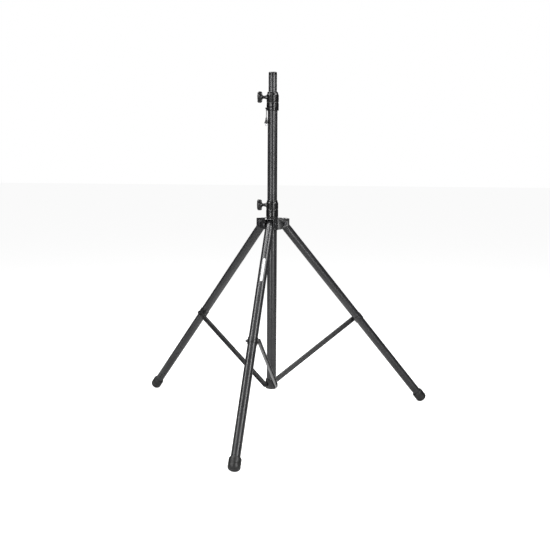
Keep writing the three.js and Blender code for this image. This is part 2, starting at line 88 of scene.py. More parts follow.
def make_camera():
    """A camera that looks along +Y, turned by yaw, tipped down by pitch and rolled."""
    data = bpy.data.cameras.new("camera")
    data.lens, data.sensor_width = CAMERA_LENS, SENSOR_WIDTH
    data.clip_end = 200
    camera = bpy.data.objects.new("camera", data)
    bpy.context.scene.collection.objects.link(camera)
    turn = Matrix.Rotation(-CAMERA_YAW, 4, "Z") @ Matrix.Rotation(pi / 2 - CAMERA_PITCH, 4, "X")
    camera.matrix_world = Matrix.Translation(CAMERA_AT) @ turn @ Matrix.Rotation(CAMERA_ROLL, 4, "Z")
    bpy.context.scene.camera = camera


# ------------------------------------------------------------------ materials

BUMP_DEPTH = 0.0002


def nodes_of(material):
    """The material's node tree and its shader."""
    material.use_nodes = True
    tree = material.node_tree
    return tree, tree.nodes["Principled BSDF"]


def noise(tree, scale, detail):
    """Noise in the object's own coordinates, which the pieces keep as they move."""
    place = tree.nodes.new("ShaderNodeTexCoord")
    texture = tree.nodes.new("ShaderNodeTexNoise")
    texture.inputs["Scale"].default_value = scale
    texture.inputs["Detail"].default_value = detail
    tree.links.new(place.outputs["Object"], texture.inputs["Vector"])
    return texture.outputs["Fac"]


def ramp(tree, value, low, high, start=0.35, end=0.65):
    """A number or a colour that goes from low to high as value goes from start to end."""
    if isinstance(low, tuple):
        node = tree.nodes.new("ShaderNodeValToRGB")
        first, last = node.color_ramp.elements
        first.position, last.position = start, end
        first.color, last.color = (*low, 1), (*high, 1)
        tree.links.new(value, node.inputs["Fac"])
        return node.outputs["Color"]
    node = tree.nodes.new("ShaderNodeMapRange")
    for name, number in (("From Min", start), ("From Max", end), ("To Min", low), ("To Max", high)):
        node.inputs[name].default_value = number
    tree.links.new(value, node.inputs["Value"])
    return node.outputs["Result"]


def worn(tree, colour, rubbed, amount):
    """The colour, rubbed paler along convex edges where a broken noise lets it show."""
    geometry = tree.nodes.new("ShaderNodeNewGeometry")
    edge = ramp(tree, geometry.outputs["Pointiness"], 0.0, amount, 0.53, 0.62)
    patch = ramp(tree, noise(tree, 180, 4), 0.0, 1.0, 0.45, 0.62)
    both = tree.nodes.new("ShaderNodeMath")
    both.operation = "MULTIPLY"
    tree.links.new(edge, both.inputs[0])
    tree.links.new(patch, both.inputs[1])
    mix = tree.nodes.new("ShaderNodeMix")
    mix.data_type = "RGBA"
    tree.links.new(both.outputs[0], mix.inputs["Factor"])
    tree.links.new(colour, mix.inputs["A"])
    mix.inputs["B"].default_value = (*rubbed, 1)
    return mix.outputs["Result"]


def finish_material(name, dark, light, rough, bumps, metallic=0.0, rubbed=None, wear=0.0, cloud=14.0):
    """A surface whose colour and roughness drift, with fine relief. bumps is a list of (scale, strength)."""
    material = bpy.data.materials.new(name)
    tree, shader = nodes_of(material)
    colour = ramp(tree, noise(tree, cloud, 5), dark, light)
    if rubbed:
        colour = worn(tree, colour, rubbed, wear)
    tree.links.new(colour, shader.inputs["Base Color"])
    tree.links.new(ramp(tree, noise(tree, cloud * 2.3, 4), *rough), shader.inputs["Roughness"])
    shader.inputs["Metallic"].default_value = metallic
    normal = None
    for scale, strength in bumps:
        bump = tree.nodes.new("ShaderNodeBump")
        bump.inputs["Strength"].default_value = strength
        bump.inputs["Distance"].default_value = BUMP_DEPTH
        tree.links.new(noise(tree, scale, 3), bump.inputs["Height"])
        if normal:
            tree.links.new(normal, bump.inputs["Normal"])
        normal = bump.outputs["Normal"]
    tree.links.new(normal, shader.inputs["Normal"])
    return material


MATERIALS = {
    "painted_tube": finish_material(
        "black_powder_coat", (0.015, 0.015, 0.016), (0.023, 0.023, 0.0245), (0.25, 0.32),
        [(1400, 0.06), (240, 0.03)], rubbed=(0.11, 0.11, 0.115), wear=0.5),
    "painted_brace": finish_material(
        "black_powder_coat_brace", (0.012, 0.012, 0.0125), (0.019, 0.019, 0.020), (0.26, 0.34),
        [(1400, 0.08), (240, 0.04)], rubbed=(0.13, 0.13, 0.135), wear=0.6),
    "painted_bracket": finish_material(
        "black_powder_coat_bracket", (0.010, 0.010, 0.0105), (0.018, 0.018, 0.019), (0.24, 0.34),
        [(1100, 0.1), (220, 0.06)], rubbed=(0.13, 0.13, 0.13), wear=0.6),
    "collar_plastic": finish_material(
        "moulded_nylon", (0.004, 0.004, 0.0043), (0.008, 0.008, 0.0085), (0.2, 0.3),
        [(2200, 0.1), (420, 0.05)], rubbed=(0.05, 0.05, 0.05), wear=0.4),
    "knob_plastic": finish_material(
        "moulded_knob", (0.004, 0.004, 0.0043), (0.008, 0.008, 0.0085), (0.24, 0.34),
        [(2600, 0.15), (500, 0.05)], rubbed=(0.05, 0.05, 0.05), wear=0.5),
    "nylon": finish_material(
        "nylon_bushing", (0.035, 0.035, 0.035), (0.05, 0.05, 0.05), (0.45, 0.55), [(1800, 0.3)]),
    "rubber_foot": finish_material(
        "foot_rubber", (0.004, 0.004, 0.004), (0.010, 0.010, 0.0098), (0.36, 0.5),
        [(1500, 0.2), (180, 0.1)], rubbed=(0.05, 0.05, 0.048), wear=0.5, cloud=30),
    "black_zinc": finish_material(
        "black_zinc", (0.02, 0.02, 0.023), (0.05, 0.05, 0.055), (0.28, 0.42),
        [(900, 0.2)], metallic=0.85, rubbed=(0.3, 0.3, 0.31), wear=0.7, cloud=60),
    "pin_steel": finish_material(
        "bright_zinc", (0.45, 0.45, 0.47), (0.62, 0.62, 0.64), (0.16, 0.3), [(1200, 0.15)],
        metallic=1.0, cloud=80),
    "lanyard_vinyl": finish_material(
        "vinyl_cord", (0.011, 0.011, 0.012), (0.02, 0.02, 0.021), (0.35, 0.45), [(2400, 0.3)]),
}
PRINT = finish_material(
    "plain_print", (0.62, 0.62, 0.62), (0.72, 0.72, 0.72), (0.38, 0.5), [(1400, 0.15)], cloud=90)


# ------------------------------------------------------------------ mesh tools

# Shapes drawn in place need no further placing. A radius below ON_AXIS is a point on the axis.
FRAME = Matrix.Identity(4)
ON_AXIS = 1e-6


def smooth_by_angle(mesh, angle=radians(32)):
    """Shades the mesh smooth, and keeps edges sharper than the angle crisp."""
    shaped = bmesh.new()
    shaped.from_mesh(mesh)
    for face in shaped.faces:
        face.smooth = True
    for edge in shaped.edges:
        edge.smooth = len(edge.link_faces) == 2 and edge.calc_face_angle(0) < angle
    shaped.to_mesh(mesh)
    shaped.free()


def body_from(name, points, faces, place=FRAME):
    """A closed mesh from millimetre points, with its faces pointing out."""
    mesh = bpy.data.meshes.new(name)
    whole = STAND @ place
    mesh.from_pydata([whole @ Vector(p) for p in points], [], faces)
    shaped = bmesh.new()
    shaped.from_mesh(mesh)
    bmesh.ops.recalc_face_normals(shaped, faces=shaped.faces)
    shaped.to_mesh(mesh)
    shaped.free()
    piece = bpy.data.objects.new(name, mesh)
    bpy.context.scene.collection.objects.link(piece)
    return piece


def applied(piece):
    """Bakes the modifiers into the mesh."""
    graph = bpy.context.evaluated_depsgraph_get()
    graph.update()
    mesh = bpy.data.meshes.new_from_object(piece.evaluated_get(graph))
    piece.modifiers.clear()
    old = piece.data
    piece.data = mesh
    mesh.name = piece.name
    bpy.data.meshes.remove(old)
    return piece


def combine(piece, tool, operation):
    """One boolean, which uses up the tool."""
    modifier = piece.modifiers.new("combine", "BOOLEAN")
    modifier.operation, modifier.solver, modifier.object = operation, "EXACT", tool
    applied(piece)
    old = tool.data
    bpy.data.objects.remove(tool)
    bpy.data.meshes.remove(old)
    return piece


def cut(piece, *tools):
    """The piece without the tools' shapes."""
    for tool in tools:
        combine(piece, tool, "DIFFERENCE")
    return piece


def join(piece, *others):
    """The piece and the others as one solid."""
    for other in others:
        combine(piece, other, "UNION")
    return piece


def soften(piece, width=0.5, segments=2, angle=35):
    """Rounds the sharp edges of a piece, width in millimetres."""
    shaped = bmesh.new()
    shaped.from_mesh(piece.data)
    bmesh.ops.remove_doubles(shaped, verts=shaped.verts, dist=1e-6)
    bmesh.ops.dissolve_degenerate(shaped, edges=shaped.edges, dist=1e-6)
    shaped.to_mesh(piece.data)
    shaped.free()
    bevel = piece.modifiers.new("soften", "BEVEL")
    bevel.width, bevel.segments = width / 1000, segments
    bevel.limit_method, bevel.angle_limit = "ANGLE", radians(angle)
    bevel.miter_outer = "MITER_ARC"
    return applied(piece)


def fillet(points, size, closed=False, steps=4):
    """The outline with its corners rounded: each corner turns along a short parabola."""
    rounded = []
    count = len(points)
    for i, corner in enumerate(points):
        here = Vector(corner)
        if not closed and i in (0, count - 1):
            rounded.append(tuple(here))
            continue
        back, ahead = Vector(points[i - 1]) - here, Vector(points[(i + 1) % count]) - here
        reach = min(size, 0.45 * back.length, 0.45 * ahead.length)
        if pi - back.angle(ahead) < radians(4):
            rounded.append(tuple(here))
            continue
        start, end = here + back.normalized() * reach, here + ahead.normalized() * reach
        for k in range(steps + 1):
            t = k / steps
            rounded.append(tuple((1 - t) ** 2 * start + 2 * t * (1 - t) * here + t * t * end))
    return rounded


def stacked(name, rings, place=FRAME):
    """A closed body through rings of points. A ring is a whole turn, or one point on the axis."""
    points, indices = [], []
    for ring in rings:
        indices.append([len(points) + k for k in range(len(ring))])
        points += ring
    around = max(len(ring) for ring in rings)
    closing = indices[:1] if len(rings[0]) > 1 else []
    faces = []
    for low, high in zip(indices, indices[1:] + closing):
        for k in range(around):
            n = (k + 1) % around
            corners = low[k % len(low)], low[n % len(low)], high[n % len(high)], high[k % len(high)]
            face = list(dict.fromkeys(corners))
            if len(face) > 2:
                faces.append(face)
    return body_from(name, points, faces, place)


def turned(name, profile, place=FRAME, around=96):
    """A profile of (radius, height) turned about Z. It starts and ends on the axis, or closes on itself."""
    rings = []
    for radius, height in profile:
        angles = [2 * pi * k / around for k in range(around if radius > ON_AXIS else 1)]
        rings.append([(radius * cos(angle), radius * sin(angle), height) for angle in angles])
    return stacked(name, rings, place)


def prism(name, outline, low, high, place=FRAME):
    """An outline in X and Y, from one Z to another."""
    count = len(outline)
    points = [(x, y, low) for x, y in outline] + [(x, y, high) for x, y in outline]
    sides = [(k, (k + 1) % count, count + (k + 1) % count, count + k) for k in range(count)]
    faces = [tuple(range(count)), tuple(range(count, 2 * count)), *sides]
    return body_from(name, points, faces, place)


def rod(radius, start, end, place=FRAME, around=48, end_radius=None):
    """A plain cylinder or cone between two points, used as a tool or a core."""
    start, end = Vector(start), Vector(end)
    run = end - start
    aim = Matrix.Translation(start) @ run.to_track_quat("Z", "Y").to_matrix().to_4x4()
    far = radius if end_radius is None else end_radius
    return turned("rod", [(0, 0), (radius, 0), (far, run.length), (0, run.length)], place @ aim, around)


def block(low, high, place=FRAME):
    """A box between two opposite corners."""
    (x0, y0, z0), (x1, y1, z1) = low, high
    return prism("block", [(x0, y0), (x1, y0), (x1, y1), (x0, y1)], z0, z1, place)


def outward(azimuth, radius, height):
    """The point at a distance out from the mast's axis. Azimuth 0 points along -Y."""
    return (radius * sin(azimuth), -radius * cos(azimuth), height)


def pointing_out(azimuth, height):
    """A place on the mast's axis whose Z points out from it."""
    turn = Matrix.Rotation(azimuth, 4, "Z") @ Matrix.Rotation(pi / 2, 4, "X")
    return Matrix.Translation((0, 0, height)) @ turn


def radial(radius, azimuth, height, start, end, around=HOLE_FACETS, end_radius=None):
    """A cylinder or cone that runs out from the mast's axis."""
    near, far = outward(azimuth, start, height), outward(azimuth, end, height)
    return rod(radius, near, far, FRAME, around, end_radius)


def shown(piece, node):
    """Puts a finished piece in the CAD node's place, on its body and with its finish."""
    piece.name = piece.data.name = f"{node}_shape"
    if piece.type == "MESH":
        smooth_by_angle(piece.data)
    piece.data.materials.clear()
    piece.data.materials.append(MATERIALS[SLOT_OF[node]])
    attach(piece, BODY_OF[node])
    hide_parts(node)
    return piece


def shown_on_every_side(piece, part):
    """Three copies of a front piece, each turned about the mast to its own side."""
    for side, azimuth in SIDES.items():
        copy = piece.copy()
        copy.data = piece.data.copy()
        copy.data.transform(Matrix.Rotation(azimuth, 4, "Z"))
        bpy.context.scene.collection.objects.link(copy)
        shown(copy, f"{side}_{part}")
    bpy.data.objects.remove(piece)


def pipe_profile(outer, inner, low, high, edge=0.4):
    """The wall of a pipe, as a closed profile with eased edges."""
    return fillet([(inner, low), (outer, low), (outer, high), (inner, high)], edge, closed=True)


# ------------------------------------------------------------------ mast and pole

def make_mast():
    """The main tube and the pole, each drilled for the locking pin, and the pole's cap."""
    wall = pipe_profile(MAIN_R, MAIN_R - MAIN_WALL, HUB_TOP + GAP, MAIN_TOP)
    tube = turned("tube", wall, around=MAST_FACETS)
    cut(tube, radial(PIN_HOLE_R, LANYARD_AZIMUTH, PIN_HEIGHT, -25, 25))
    shown(tube, "main_tube")

    shoulder = POLE_TOP - CAP_HEIGHT
    wall = pipe_profile(POLE_R, POLE_R - POLE_WALL, HUB_SPIGOT_TOP + 4, shoulder - GAP)
    pole = turned("pole", wall, around=MAST_FACETS)
    for i in range(1, PIN_HOLE_COUNT + 1):
        cut(pole, radial(PIN_HOLE_R, LANYARD_AZIMUTH, PIN_HEIGHT - i * PIN_HOLE_PITCH, -25, 25))
    shown(pole, "pole_tube")

    plug = POLE_R - POLE_WALL - GAP
    cap = fillet([
        (0, POLE_TOP - 40), (plug, POLE_TOP - 40), (plug, shoulder), (POLE_R, shoulder),
        (POLE_R, POLE_TOP - 2.6), (POLE_R - 2.2, POLE_TOP),
        (9, POLE_TOP), (8, POLE_TOP - 0.8), (0, POLE_TOP - 0.8),
    ], 0.7)
    shown(turned("cap", cap, around=MAST_FACETS), "pole_cap")


def make_hub():
    """A moulded block with a spigot up the main tube, and a flat and a bolt hole for each brace."""
    spigot = MAIN_R - MAIN_WALL - GAP
    profile = fillet([
        (0, HUB_BASE), (HUB_R - 1.5, HUB_BASE), (HUB_R, HUB_BASE + 2), (HUB_R, HUB_TOP - 3),
        (HUB_R - 3, HUB_TOP), (spigot, HUB_TOP), (spigot, HUB_SPIGOT_TOP), (0, HUB_SPIGOT_TOP),
    ], 1)
    body = turned("hub", profile)
    for azimuth in SIDES.values():
        turn = Matrix.Rotation(azimuth, 4, "Z")
        cut(body, block((BRACE_INNER - GAP, -60, HUB_BASE - 10), (60, 60, HUB_TOP + 20), turn))
        start, end = (6, -HUB_PIVOT_R, HUB_PIVOT_Z), (40, -HUB_PIVOT_R, HUB_PIVOT_Z)
        cut(body, rod(BOLT_HOLE_R, start, end, turn, HOLE_FACETS))
    shown(soften(body, 0.9, 3), "hub")


# ------------------------------------------------------------------ collars, bracket, knobs

def upright(radius, base, top):
    """A plain cylinder on the mast's axis."""
    return rod(radius, (0, 0, base), (0, 0, top), around=COLLAR_FACETS)


def collar(base, top, knob, screw, slit):
    """A clamping collar: a stepped shoulder, a belt groove, a boss for the knob, a slit and a screw hole."""
    belt, groove, neck = slit + 2, COLLAR_R - 1.1, COLLAR_R - 2.8
    profile = fillet([
        (0, base), (COLLAR_R - 0.6, base), (COLLAR_R, base + 1.2),
        (COLLAR_R, belt - 2.2), (groove, belt - 1.2), (groove, belt + 1.2), (COLLAR_R, belt + 2.2),
        (COLLAR_R, top - 12), (neck, top - 7.5), (neck, top - 1.5), (COLLAR_R - 4, top), (0, top),
    ], 1.4)
    body = turned("collar", profile, around=COLLAR_FACETS)
    join(body, radial(BOSS_R + 2, KNOB_AZIMUTH, knob, 18, BOSS_FACE, 64, BOSS_R - 1.5))
    cut(body, radial(STUD_R + GAP, KNOB_AZIMUTH, knob, 10, BOSS_FACE + 5))
    cut(body, radial(SCREW_HOLE_R, SLIT_AZIMUTH, screw, 10, 40))
    cut(body, radial(SCREW_SEAT_R, SLIT_AZIMUTH, screw, COLLAR_R - 0.4, 40))
    turn = Matrix.Rotation(SLIT_AZIMUTH, 4, "Z")
    cut(body, block((-SLIT_HALF_WIDTH, -40, slit), (SLIT_HALF_WIDTH, -10, top + 5), turn))
    return body


def make_collars():
    """The upper collar has a lip over the main tube's end; the lower one has a spigot into the bracket."""
    lip = MAIN_TOP + 3.1
    upper = collar(**UPPER_COLLAR)
    cut(upper, upright(BORE_R, UPPER_COLLAR["base"] - 5, lip))
    cut(upper, upright(POLE_R + 0.5, lip - 5, UPPER_COLLAR["top"] + 5))
    shown(soften(upper), "upper_collar")

    lower = collar(**LOWER_COLLAR)
    base = LOWER_COLLAR["base"]
    join(lower, upright(SPIGOT_R, base - 17, base + 2))
    cut(lower, upright(BORE_R, base - 20, LOWER_COLLAR["top"] + 5))
    shown(soften(lower), "lower_collar")


def arm_top(out):
    """The height of an arm's top plate, at a distance out from the mast's axis."""
    return BRACKET_TOP - max(0, out - COLLAR_R) * tan(BRACKET_SLOPE)


# Shape X goes outward, shape Y goes up, and the plate's thickness runs from +X to -X.
SIDE_ON = Matrix(((0, 0, -1, 0), (-1, 0, 0, 0), (0, 1, 0, 0), (0, 0, 0, 1)))


def bracket_arm(turn):
    """Two cheeks folded down from a top plate, open below and at the outer end."""
    place = turn @ SIDE_ON
    outline = fillet([
        (16, BRACKET_BASE), (32, BRACKET_BASE), (ARM_REACH - 3, BRACKET_BASE + 10),
        (ARM_REACH, BRACKET_BASE + 14), (ARM_REACH, arm_top(ARM_REACH)),
        (COLLAR_R, BRACKET_TOP), (16, BRACKET_TOP),
    ], 3, closed=True, steps=5)
    arm = soften(prism("arm", outline, -ARM_HALF_WIDTH, ARM_HALF_WIDTH, place), ARM_BEND, 4, 50)
    past, inside = ARM_REACH + 5, ARM_HALF_WIDTH - ARM_SHEET
    pocket = [
        (20, BRACKET_BASE - 5), (past, BRACKET_BASE - 5), (past, arm_top(past) - ARM_SHEET),
        (COLLAR_R, BRACKET_TOP - ARM_SHEET), (20, BRACKET_TOP - ARM_SHEET),
    ]
    cut(arm, prism("pocket", pocket, -inside, inside, place))
    start, end = (-40, -LEG_PIVOT_R, LEG_PIVOT_Z), (40, -LEG_PIVOT_R, LEG_PIVOT_Z)
    cut(arm, rod(STUD_R + GAP, start, end, turn, 40))
    return arm


def make_bracket():
    """Three folded arms joined to a sleeve around the lower collar's spigot."""
    base, top = BRACKET_BASE - 2, BRACKET_TOP + 1.5
    profile = fillet([(0, base), (COLLAR_R, base), (COLLAR_R, top), (0, top)], 0.8)
    sleeve = turned("sleeve", profile, around=COLLAR_FACETS)
    for azimuth in SIDES.values():
        join(sleeve, bracket_arm(Matrix.Rotation(azimuth, 4, "Z")))
    cut(sleeve, upright(SPIGOT_R + GAP, BRACKET_BASE - 9, BRACKET_TOP + 9))
    shown(soften(sleeve, angle=40), "leg_bracket")


FLUTE_DEPTH, FLUTE_SHARPNESS = 6.5, 1.3


def knob_head(place):
    """A star knob: rings of a lobed outline that swell from the neck and crown over at the outer face."""
    around = 24 * KNOB_LOBES
    depth = KNOB_OUTER - KNOB_INNER
    outline = fillet([
        (0, 0), (0.62, 0), (0.93, 0.1 * depth), (1.0, 0.3 * depth), (1.0, 0.72 * depth), (0.93, 0.9 * depth),
        (0.7, depth), (0.42, depth), (0.36, 0.9 * depth), (0, 0.88 * depth),
    ], 1.4)
    rings = []
    for share, rise in outline:
        ring = []
        for k in range(around if share > ON_AXIS else 1):
            angle = 2 * pi * k / around
            flute = (0.5 - 0.5 * cos(KNOB_LOBES * angle)) ** FLUTE_SHARPNESS
            reach = share * (KNOB_R - FLUTE_DEPTH * flute * share ** 3)
            ring.append((reach * cos(angle), reach * sin(angle), KNOB_INNER + rise))
        rings.append(ring)
    return stacked("head", rings, place)


def make_knobs():
    """Each knob: a star head with a waisted neck, drilled for its stud."""
    for which, height in (("upper", UPPER_COLLAR["knob"]), ("lower", LOWER_COLLAR["knob"])):
        place = pointing_out(KNOB_AZIMUTH, height)
        neck = fillet([
            (0, BOSS_FACE + GAP), (7.2, BOSS_FACE + GAP), (6.2, BOSS_FACE + 5), (6.6, KNOB_INNER - 3),
            (11, KNOB_INNER + 1), (0, KNOB_INNER + 3),
        ], 1.5)
        head = join(knob_head(place), turned("neck", neck, place, 64))
        cut(head, rod(STUD_R + GAP, (0, 0, 20), (0, 0, KNOB_OUTER - 6), place, HOLE_FACETS))
        shown(head, f"{which}_knob")


# ------------------------------------------------------------------ bolts, screws, nuts

# Turns a shape drawn along Z to lie along X.
ALONG_X = Matrix.Rotation(pi / 2, 4, "Y")


def cross_hole(radius, place, start=-60, end=60):
    """A tool that drills along X."""
    return rod(radius, (start, 0, 0), (end, 0, 0), place, HOLE_FACETS)


def bolt(place, radius, start, head, head_radius, head_height):
    """A bolt along X with a domed, dimpled head."""
    crown = head + head_height
    profile = fillet([
        (0, start), (radius, start), (radius, head), (head_radius, head),
        (head_radius, head + 0.45 * head_height), (head_radius * 0.72, crown),
        (head_radius * 0.36, crown), (head_radius * 0.3, head + 0.7 * head_height),
        (0, head + 0.62 * head_height),
    ], 0.6)
    return turned("bolt", profile, place @ ALONG_X, 48)


def nut(place, radius, bore, start, end):
    """A hexagonal nut along X, drilled through."""
    corners = [(radius * cos(k * pi / 3), radius * sin(k * pi / 3)) for k in range(6)]
    body = prism("nut", corners, start, end, place @ ALONG_X)
    cut(body, rod(bore, (0, 0, start - 2), (0, 0, end + 2), place @ ALONG_X, HOLE_FACETS))
    return soften(body)


def make_screws():
    """The collars' clamping screws, and the headed post that the lanyard hangs on."""
    for which, height in (("upper", UPPER_COLLAR["screw"]), ("lower", LOWER_COLLAR["screw"])):
        turn = Matrix.Rotation(SLIT_AZIMUTH, 4, "Z") @ Matrix.Rotation(-pi / 2, 4, "Z")
        face = Matrix.Translation((0, 0, height)) @ turn
        screw = bolt(face, SCREW_R, BORE_R + GAP, COLLAR_R + GAP, SCREW_HEAD_R, 1.6)
        shown(screw, f"{which}_collar_screw")

    head = LANYARD_R + CORD_R + 2 * GAP
    anchor = fillet([
        (0, COLLAR_R + GAP), (4.4, COLLAR_R + GAP), (4.4, COLLAR_R + 1.6), (ANCHOR_POST_R, COLLAR_R + 3),
        (ANCHOR_POST_R, head), (3.6, head), (3.2, head + 1.4), (0, head + 1.4),
    ], 0.6)
    shown(turned("anchor", anchor, pointing_out(LANYARD_AZIMUTH, ANCHOR_Z), 40), "lanyard_anchor")


# ------------------------------------------------------------------ legs

SOLE_STEPS = 14


def rounded_head(radius, place):
    """Everything below the pivot, and a rounded end about it."""
    below = block((-60, -60, -1300), (60, 60, 0), place)
    return join(below, rod(radius, (-50, 0, 0), (50, 0, 0), place, 96))


def make_foot(place):
    """A moulded rubber foot: a rimmed socket, a grip groove and a round sole cut flat at the floor."""
    centre = -FOOT_END + FOOT_ROUND
    profile = [(0, -FOOT_END)]
    for step in range(SOLE_STEPS + 1):
        angle = step * pi / (2 * SOLE_STEPS)
        across = FOOT_R - FOOT_ROUND + FOOT_ROUND * sin(angle)
        profile.append((across, centre - FOOT_ROUND * cos(angle)))
    groove, dent = centre + 7, FOOT_R - 1.3
    profile += [
        (FOOT_R, groove - 2.2), (dent, groove - 1.2), (dent, groove + 1.2), (FOOT_R, groove + 2.2),
        (FOOT_R, -FOOT_TOP - 7), (FOOT_R - 0.8, -FOOT_TOP - 3), (FOOT_R - 3, -FOOT_TOP),
        (LEG_R + GAP, -FOOT_TOP), (LEG_R + GAP, -LEG_TUBE_END - GAP), (0, -LEG_TUBE_END - GAP),
    ]
    body = turned("foot", profile, place)
    cut(body, block((-1500, -1500, -100), (1500, 1500, 0)))
    shown_on_every_side(soften(body, 0.6, 3, 40), "foot")


def make_legs():
    """Each leg: tube, end plug, brace clamp with its bolt and nut, pivot bolt and nut, and foot."""
    pivot = Matrix.Translation((0, -LEG_PIVOT_R, LEG_PIVOT_Z))
    place = pivot @ Matrix.Rotation(-LEG_ANGLE, 4, "X")
    joint = place @ Matrix.Translation((0, 0, -BRACE_JOINT))

    wall = pipe_profile(LEG_R, LEG_R - LEG_WALL, -LEG_TUBE_END, LEG_R)
    tube = combine(turned("tube", wall, place), rounded_head(LEG_HEAD_R, place), "INTERSECT")
    cut(tube, cross_hole(STUD_R + GAP, place), cross_hole(BOLT_HOLE_R, joint))
    shown_on_every_side(tube, "leg_tube")

    inner = LEG_R - LEG_WALL - GAP
    plug = turned("plug", fillet([(0, -42), (inner, -42), (inner, LEG_R), (0, LEG_R)], 1), place, 64)
    combine(plug, rounded_head(LEG_HEAD_R - 0.5, place), "INTERSECT")
    cut(plug, cross_hole(STUD_R + GAP, place))
    shown_on_every_side(soften(plug, 0.4), "leg_plug")

    band = turned("band", pipe_profile(LEG_R + 2.3, LEG_R + GAP, -13, 13, 0.7), joint)
    face = BRACE_INNER - 0.4
    for sign in (-1, 1):
        join(band, rod(8.5, (sign * (LEG_R + 0.8), 0, 0), (sign * face, 0, 0), joint, 48, 8))
    cut(band, rod(LEG_R + GAP, (0, 0, -20), (0, 0, 20), joint, 96), cross_hole(BOLT_HOLE_R, joint))
    shown_on_every_side(soften(band, 0.4), "leg_clamp")

    core = fillet([(0, -face - 8), (3, -face - 8), (3, face - GAP), (0, face - GAP)], 0.6)
    shown_on_every_side(turned("core", core, joint @ ALONG_X, 40), "clamp_bolt")
    shown_on_every_side(nut(joint, 6, BOLT_HOLE_R, -BRACE_INNER - 4.8, -BRACE_INNER + 0.1), "clamp_nut")

    edge = ARM_HALF_WIDTH + GAP
    shown_on_every_side(bolt(pivot, STUD_R, -edge - 8, edge, 7, 5), "pivot_bolt")
    shown_on_every_side(nut(pivot, 7.5, STUD_R + GAP, -edge - 6, -edge), "pivot_nut")
    make_foot(place)
    make_print(place)


PRINT_START, PRINT_END, PRINT_HALF_ANGLE, PRINT_FACING = 182, 292, radians(15), radians(6)
PRINT_SUNK, PRINT_LIFT, PRINT_END_ROUND = 0.2, 0.12, 5.5
PRINT_ROWS, PRINT_COLUMNS = 40, 12


def make_print(place):
    """A plain printed bar on the front leg, where stands carry a name: no lettering and no mark."""
    length = PRINT_END - PRINT_START
    points, faces = [], []
    for row in range(PRINT_ROWS + 1):
        t = row / PRINT_ROWS
        ends = min(1, min(t, 1 - t) * length / PRINT_END_ROUND)
        half = PRINT_HALF_ANGLE * (1 - (1 - ends) ** 2) ** 0.5
        for column in range(PRINT_COLUMNS + 1):
            angle = PRINT_FACING + half * (2 * column / PRINT_COLUMNS - 1)
            for radius in (LEG_R - PRINT_SUNK, LEG_R + PRINT_LIFT):
                points.append((radius * sin(angle), -radius * cos(angle), -PRINT_START - length * t))

    def corner(row, column, layer):
        return (row * (PRINT_COLUMNS + 1) + column) * 2 + layer

    def wall(row, column, next_row, next_column):
        faces.append((corner(row, column, 0), corner(next_row, next_column, 0),
                      corner(next_row, next_column, 1), corner(row, column, 1)))

    for row in range(PRINT_ROWS):
        for column in range(PRINT_COLUMNS):
            for layer in (0, 1):
                faces.append((corner(row, column, layer), corner(row, column + 1, layer),
                              corner(row + 1, column + 1, layer), corner(row + 1, column, layer)))
        for column in (0, PRINT_COLUMNS):
            wall(row, column, row + 1, column)
    for row in (0, PRINT_ROWS):
        for column in range(PRINT_COLUMNS):
            wall(row, column, row, column + 1)
    bar = body_from("printed_bar", points, faces, place)
    smooth_by_angle(bar.data)
    bar.data.materials.append(PRINT)
    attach(bar, BODY_OF["front_leg_tube"])


# ------------------------------------------------------------------ braces

BRACE_REACH = LEG_PIVOT_R + BRACE_JOINT * sin(LEG_ANGLE) - HUB_PIVOT_R
BRACE_RISE = LEG_PIVOT_Z - BRACE_JOINT * cos(LEG_ANGLE) - HUB_PIVOT_Z
BRACE_LENGTH = hypot(BRACE_REACH, BRACE_RISE)
BRACE_ANGLE = atan2(BRACE_REACH, BRACE_RISE)


def brace_outline(half):
    """A strip with round ends, from pivot to pivot."""
    steps = 20
    angles = [pi * k / steps for k in range(steps + 1)]
    lower = [(half * cos(pi + angle), half * sin(pi + angle)) for angle in angles]
    upper = [(half * cos(angle), BRACE_LENGTH + half * sin(angle)) for angle in angles]
    return lower + upper


# Shape X goes along -Y, shape Y along Z, and the thickness along +X.
BRACE_ON = Matrix(((0, 0, 1, 0), (1, 0, 0, 0), (0, 1, 0, 0), (0, 0, 0, 1)))


def make_braces():
    """Each brace: a strip pressed into a shallow tray, with a bolt at the hub and one at the leg."""
    pivot = Matrix.Translation((0, -HUB_PIVOT_R, HUB_PIVOT_Z))
    place = pivot @ Matrix.Rotation(BRACE_ANGLE, 4, "X")
    far = place @ Matrix.Translation((0, 0, BRACE_LENGTH))
    floor = BRACE_INNER + BRACE_SHEET
    strip = brace_outline(BRACE_HALF_WIDTH)
    channel = prism("brace", strip, BRACE_INNER, BRACE_OUTER, place @ BRACE_ON)
    hollow = brace_outline(BRACE_HALF_WIDTH - BRACE_SHEET)
    tray = prism("tray", hollow, floor, BRACE_OUTER + 4, place @ BRACE_ON)
    cut(channel, tray, cross_hole(BOLT_HOLE_R, place, 10, 40), cross_hole(BOLT_HOLE_R, far, 10, 40))
    shown_on_every_side(soften(channel, 0.6, 3), "brace")
    shown_on_every_side(bolt(pivot, BOLT_R, 6.5, floor + GAP, 6, 4), "hub_bolt")
    shown_on_every_side(bolt(far, BOLT_R, BRACE_INNER, floor + GAP, 6, 4), "brace_bolt")


# ------------------------------------------------------------------ locking pin on its lanyard

def catmull(points, per_span):
    """Points on a smooth curve through the given ones."""
    padded = [points[0] * 2 - points[1], *points, points[-1] * 2 - points[-2]]
    line = []
    for a, b, c, d in zip(padded, padded[1:], padded[2:], padded[3:]):
        for k in range(per_span):
            t = k / per_span
            line.append(0.5 * (2 * b + (c - a) * t + (2 * a - 5 * b + 4 * c - d) * t * t
                               + (3 * b - a - 3 * c + d) * t ** 3))
    return [*line, points[-1]]


